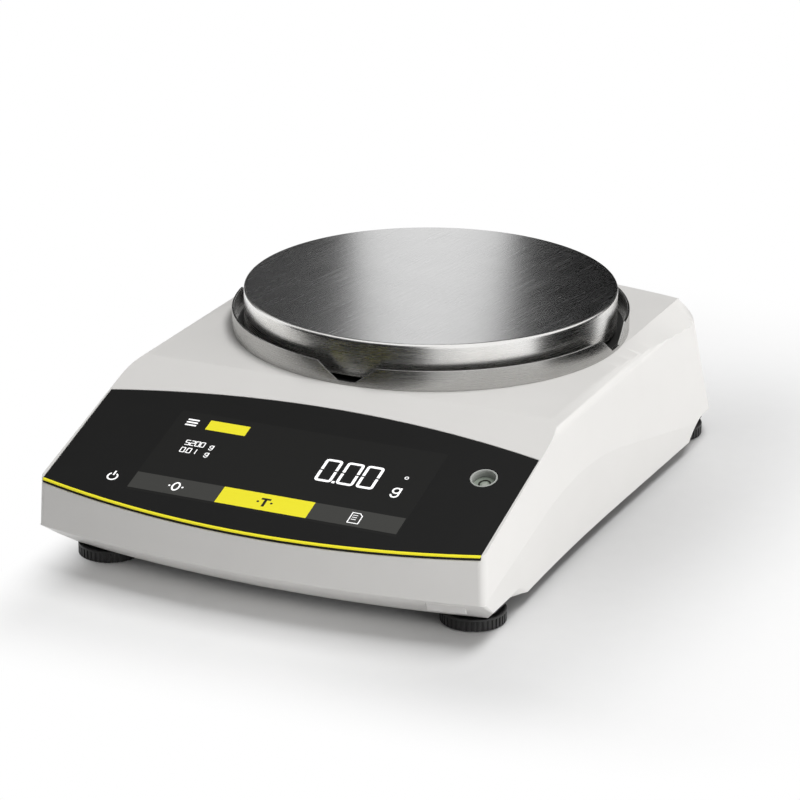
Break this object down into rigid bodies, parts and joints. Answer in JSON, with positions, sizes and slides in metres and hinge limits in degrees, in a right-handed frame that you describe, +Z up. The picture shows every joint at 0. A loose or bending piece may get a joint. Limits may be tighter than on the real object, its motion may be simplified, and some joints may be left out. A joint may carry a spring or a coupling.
{
  "type": "jewelry scale",
  "caption": "Precision scale with a round steel pan inside a notched draft ring, a sloped black touch display, a bubble level and knurled levelling feet.",
  "frame": {"origin": "on the bench, under the middle of the bounding box", "axes": "+X to the operator's right, +Y to the rear, +Z up"},
  "size_m": [0.2206, 0.326, 0.0955],
  "materials": {
    "housing_light": "fine grain",
    "tray_dark": "fine grain",
    "display_black": "gloss, printed black behind",
    "accent_yellow": "gloss",
    "rubber_black": "matt",
    "screen_dark": "gloss",
    "board_green": "solder mask",
    "level_grey": "satin",
    "level_clear": "clear, filled",
    "steel_pan": "brushed top, polished edge",
    "steel_plain": "polished",
    "cast_aluminium": "machined",
    "spring_bronze": "plain",
    "copper_coil": "enamelled wire",
    "magnet_iron": "plain",
    "plastic_black": "satin",
    "ribbon_grey": "flat"
  },
  "bodies": {
    "base": {"upper_housing": "housing_light", "base_tray": "tray_dark", "display_glass": "display_black", "accent_strip": "accent_yellow", "glass_gasket": "rubber_black", "display_module": "screen_dark", "display_board": "board_green", "level_cup": "level_grey", "level_vial": "level_clear", "cell_frame": "cast_aluminium", "magnet_pot": "magnet_iron", "position_sensor": "plastic_black", "overload_stops": "steel_plain", "lift_motor": "plastic_black", "lift_rod": "steel_plain", "main_board": "board_green", "ribbon_cable": "ribbon_grey", "power_inlet": "plastic_black", "data_port": "steel_plain", "hanger_cover": "tray_dark", "service_flap": "housing_light", "foot_inserts": "spring_bronze", "housing_screws": "steel_plain", "cell_screws": "steel_plain"},
    "load_side": {"load_carrier": "cast_aluminium", "coupling_strip": "spring_bronze"},
    "pan": {"weighing_pan": "steel_pan", "pan_support": "cast_aluminium", "pan_bumpers": "rubber_black"},
    "shield": {"shield_ring": "steel_plain"},
    "lever": {"balance_lever": "cast_aluminium", "force_coil": "copper_coil"},
    "guide_up": {"upper_guide": "cast_aluminium"},
    "guide_low": {"lower_guide": "cast_aluminium"},
    "lift_spindle": {"lift_screw": "steel_plain"},
    "weight_carriage": {"lift_carriage": "cast_aluminium", "test_weight": "steel_plain"},
    "pad_fl": {"foot_pad_fl": "rubber_black"},
    "wheel_fl": {"foot_wheel_fl": "plastic_black", "foot_stud_fl": "steel_plain"},
    "pad_fr": {"foot_pad_fr": "rubber_black"},
    "wheel_fr": {"foot_wheel_fr": "plastic_black", "foot_stud_fr": "steel_plain"},
    "pad_rl": {"foot_pad_rl": "rubber_black"},
    "wheel_rl": {"foot_wheel_rl": "plastic_black", "foot_stud_rl": "steel_plain"},
    "pad_rr": {"foot_pad_rr": "rubber_black"},
    "wheel_rr": {"foot_wheel_rr": "plastic_black", "foot_stud_rr": "steel_plain"}
  },
  "joints": [
    {"name": "pan_load", "type": "slide", "parent": "base", "child": "load_side", "axis": [0, 0, -1], "range_m": [0, 0.0003], "stiffness_N_per_m": 30000, "springref_m": -0.0005},
    {"name": "pan_lift", "type": "slide", "parent": "load_side", "child": "pan", "axis": [0, 0, 1], "range_m": [0, 0.04]},
    {"name": "shield_lift", "type": "slide", "parent": "base", "child": "shield", "axis": [0, 0, 1], "range_m": [0, 0.03]},
    {"name": "lever_tilt", "type": "hinge", "parent": "base", "child": "lever", "pos_m": [0, 0.06, 0.044], "axis": [1, 0, 0], "range_deg": [0, 1.4]},
    {"name": "upper_guide_flex", "type": "hinge", "parent": "base", "child": "guide_up", "pos_m": [0, 0.119, 0.0627], "axis": [1, 0, 0], "range_deg": [0, 0.25]},
    {"name": "lower_guide_flex", "type": "hinge", "parent": "base", "child": "guide_low", "pos_m": [0, 0.119, 0.0267], "axis": [1, 0, 0], "range_deg": [0, 0.25]},
    {"name": "spindle_turn", "type": "hinge", "parent": "base", "child": "lift_spindle", "pos_m": [0.05, 0.01, 0.03], "axis": [0, 0, 1], "range_deg": [0, 1090]},
    {"name": "weight_lower", "type": "slide", "parent": "base", "child": "weight_carriage", "axis": [0, 0, -1], "range_m": [0, 0.003]},
    {"name": "foot_height_fl", "type": "slide", "parent": "base", "child": "pad_fl", "axis": [0, 0, 1], "range_m": [-0.003, 0.0003]},
    {"name": "foot_turn_fl", "type": "hinge", "parent": "pad_fl", "child": "wheel_fl", "pos_m": [-0.091, -0.1195, 0.003], "axis": [0, 0, 1], "range_deg": [-860, 80]},
    {"name": "foot_height_fr", "type": "slide", "parent": "base", "child": "pad_fr", "axis": [0, 0, 1], "range_m": [-0.003, 0.0003]},
    {"name": "foot_turn_fr", "type": "hinge", "parent": "pad_fr", "child": "wheel_fr", "pos_m": [0.091, -0.1195, 0.003], "axis": [0, 0, 1], "range_deg": [-860, 80]},
    {"name": "foot_height_rl", "type": "slide", "parent": "base", "child": "pad_rl", "axis": [0, 0, 1], "range_m": [-0.003, 0.0003]},
    {"name": "foot_turn_rl", "type": "hinge", "parent": "pad_rl", "child": "wheel_rl", "pos_m": [-0.091, 0.134, 0.003], "axis": [0, 0, 1], "range_deg": [-860, 80]},
    {"name": "foot_height_rr", "type": "slide", "parent": "base", "child": "pad_rr", "axis": [0, 0, 1], "range_m": [-0.003, 0.0003]},
    {"name": "foot_turn_rr", "type": "hinge", "parent": "pad_rr", "child": "wheel_rr", "pos_m": [0.091, 0.134, 0.003], "axis": [0, 0, 1], "range_deg": [-860, 80]}
  ],
  "couplings": [
    {"joint": "lever_tilt", "follows": "pan_load", "rad_per_m": 75.188},
    {"joint": "upper_guide_flex", "follows": "pan_load", "rad_per_m": 12.346},
    {"joint": "lower_guide_flex", "follows": "pan_load", "rad_per_m": 12.346},
    {"joint": "spindle_turn", "follows": "weight_lower", "rad_per_m": 6283.2},
    {"joint": "foot_height_fl", "follows": "foot_turn_fl", "m_per_rad": 0.00019894},
    {"joint": "foot_height_fr", "follows": "foot_turn_fr", "m_per_rad": 0.00019894},
    {"joint": "foot_height_rl", "follows": "foot_turn_rl", "m_per_rad": 0.00019894},
    {"joint": "foot_height_rr", "follows": "foot_turn_rr", "m_per_rad": 0.00019894}
  ]
}
